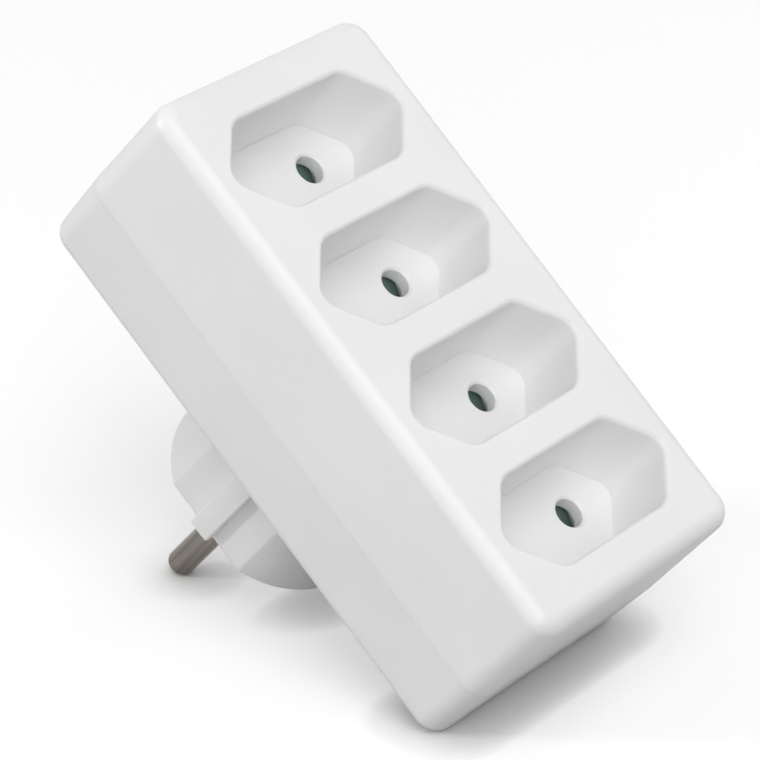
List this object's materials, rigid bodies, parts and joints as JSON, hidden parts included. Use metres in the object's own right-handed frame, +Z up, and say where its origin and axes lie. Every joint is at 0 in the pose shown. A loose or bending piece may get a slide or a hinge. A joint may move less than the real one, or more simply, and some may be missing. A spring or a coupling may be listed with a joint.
{
  "type": "multi socket adapter",
  "caption": "Plug-in adapter with a row of hexagonal wells for flat plugs in a slim moulded housing, sprung shutters behind the pin holes and a round keyed plug with solid pins at the back.",
  "frame": {"origin": "middle of the plug's face, between its two pins", "axes": "+Y out of the plug's face into the wall, +Z up along the row of sockets, +X across the sockets, to the right as seen from in front of them"},
  "size_m": [0.0514, 0.078, 0.1036],
  "materials": {
    "front_plastic": "satin moulded",
    "rear_plastic": "satin moulded",
    "retainer_plastic": "natural moulded",
    "shutter_plastic": "moulded",
    "pin_metal": "nickel plated, turned",
    "contact_brass": "stamped",
    "spring_steel": "rolled strip",
    "screw_steel": "zinc plated"
  },
  "bodies": {
    "housing": {"front_housing": "front_plastic", "rear_housing": "rear_plastic", "shutter_retainer": "retainer_plastic", "plug_pin_left": "pin_metal", "contact_strip_left": "contact_brass", "plug_pin_right": "pin_metal", "contact_strip_right": "contact_brass", "shutter_spring_1": "spring_steel", "housing_screw_1": "screw_steel", "shutter_spring_2": "spring_steel", "housing_screw_2": "screw_steel", "shutter_spring_3": "spring_steel", "housing_screw_3": "screw_steel", "shutter_spring_4": "spring_steel", "housing_screw_4": "screw_steel", "retainer_screw_1": "screw_steel", "retainer_screw_2": "screw_steel", "retainer_screw_3": "screw_steel"},
    "shutter_1": {"shutter_1": "shutter_plastic"},
    "shutter_2": {"shutter_2": "shutter_plastic"},
    "shutter_3": {"shutter_3": "shutter_plastic"},
    "shutter_4": {"shutter_4": "shutter_plastic"}
  },
  "joints": [
    {"name": "shutter_1_slide", "type": "slide", "parent": "housing", "child": "shutter_1", "axis": [0, 0, 1], "range_m": [0, 0.006], "stiffness_N_per_m": 60, "springref_m": -0.002, "deforming": ["shutter_spring_1"]},
    {"name": "shutter_2_slide", "type": "slide", "parent": "housing", "child": "shutter_2", "axis": [0, 0, 1], "range_m": [0, 0.006], "stiffness_N_per_m": 60, "springref_m": -0.002, "deforming": ["shutter_spring_2"]},
    {"name": "shutter_3_slide", "type": "slide", "parent": "housing", "child": "shutter_3", "axis": [0, 0, 1], "range_m": [0, 0.006], "stiffness_N_per_m": 60, "springref_m": -0.002, "deforming": ["shutter_spring_3"]},
    {"name": "shutter_4_slide", "type": "slide", "parent": "housing", "child": "shutter_4", "axis": [0, 0, 1], "range_m": [0, 0.006], "stiffness_N_per_m": 60, "springref_m": -0.002, "deforming": ["shutter_spring_4"]}
  ]
}
